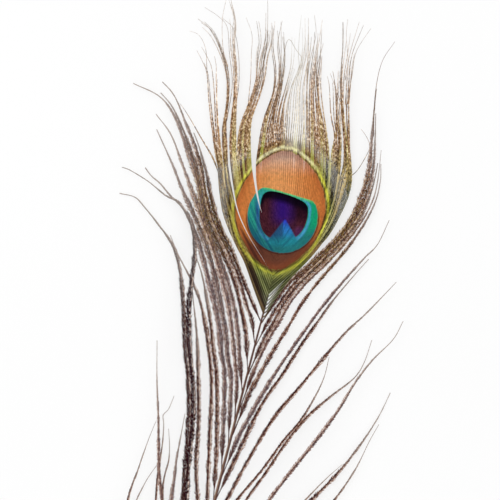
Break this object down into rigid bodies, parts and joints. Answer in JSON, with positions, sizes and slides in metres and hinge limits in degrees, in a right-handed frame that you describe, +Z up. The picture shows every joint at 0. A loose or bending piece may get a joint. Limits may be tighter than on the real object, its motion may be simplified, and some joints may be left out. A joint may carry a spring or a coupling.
{
  "type": "peacock feather",
  "caption": "Peacock eye feather cut short: iridescent ocellus with two splits, a crest of free barb tips and loose barbs along the shaft, lying flat for display.",
  "frame": {"origin": "on the surface that the feather lies on, under the shaft, at the middle of the feather's length", "axes": "+Y along the shaft from the cut end to the crest, +X to the right of the eye, +Z up out of the display side"},
  "size_m": [0.1331, 0.303, 0.0096],
  "materials": {
    "shaft": "satin horn, dark reddish brown on the display side",
    "eye_vane": "iridescent barbs, bronze with turquoise, blue and violet",
    "crest": "soft iridescent barbs, bronze and olive fading to grey tips",
    "loose_barb": "soft dark brown barbs with fine barbules"
  },
  "bodies": {
    "root": {"shaft": "shaft", "eye_plate_left_outer": "eye_vane", "eye_plate_left_middle": "eye_vane", "eye_plate_left_inner": "eye_vane", "eye_plate_right": "eye_vane", "crest_lock_01": "crest", "crest_lock_02": "crest", "crest_lock_03": "crest", "crest_lock_04": "crest", "crest_lock_05": "crest", "crest_lock_06": "crest", "crest_lock_07": "crest", "crest_lock_08": "crest", "crest_lock_09": "crest", "crest_lock_10": "crest", "crest_lock_11": "crest", "crest_lock_12": "crest", "crest_lock_13": "crest", "crest_lock_14": "crest", "crest_lock_15": "crest", "crest_lock_16": "crest", "herl_left_01": "loose_barb", "herl_left_02": "loose_barb", "herl_left_03": "loose_barb", "herl_left_04": "loose_barb", "herl_left_05": "loose_barb", "herl_left_06": "loose_barb", "herl_left_07": "loose_barb", "herl_left_08": "loose_barb", "herl_left_09": "loose_barb", "herl_left_10": "loose_barb", "herl_left_11": "loose_barb", "herl_left_12": "loose_barb", "herl_left_13": "loose_barb", "herl_left_14": "loose_barb", "herl_left_15": "loose_barb", "herl_left_16": "loose_barb", "herl_left_17": "loose_barb", "herl_left_18": "loose_barb", "herl_left_19": "loose_barb", "herl_left_20": "loose_barb", "herl_right_01": "loose_barb", "herl_right_02": "loose_barb", "herl_right_03": "loose_barb", "herl_right_04": "loose_barb", "herl_right_05": "loose_barb", "herl_right_06": "loose_barb", "herl_right_07": "loose_barb", "herl_right_08": "loose_barb", "herl_right_09": "loose_barb", "herl_right_10": "loose_barb", "herl_right_11": "loose_barb", "herl_right_12": "loose_barb", "herl_right_13": "loose_barb", "herl_right_14": "loose_barb", "herl_right_15": "loose_barb", "herl_right_16": "loose_barb"}
  },
  "joints": []
}
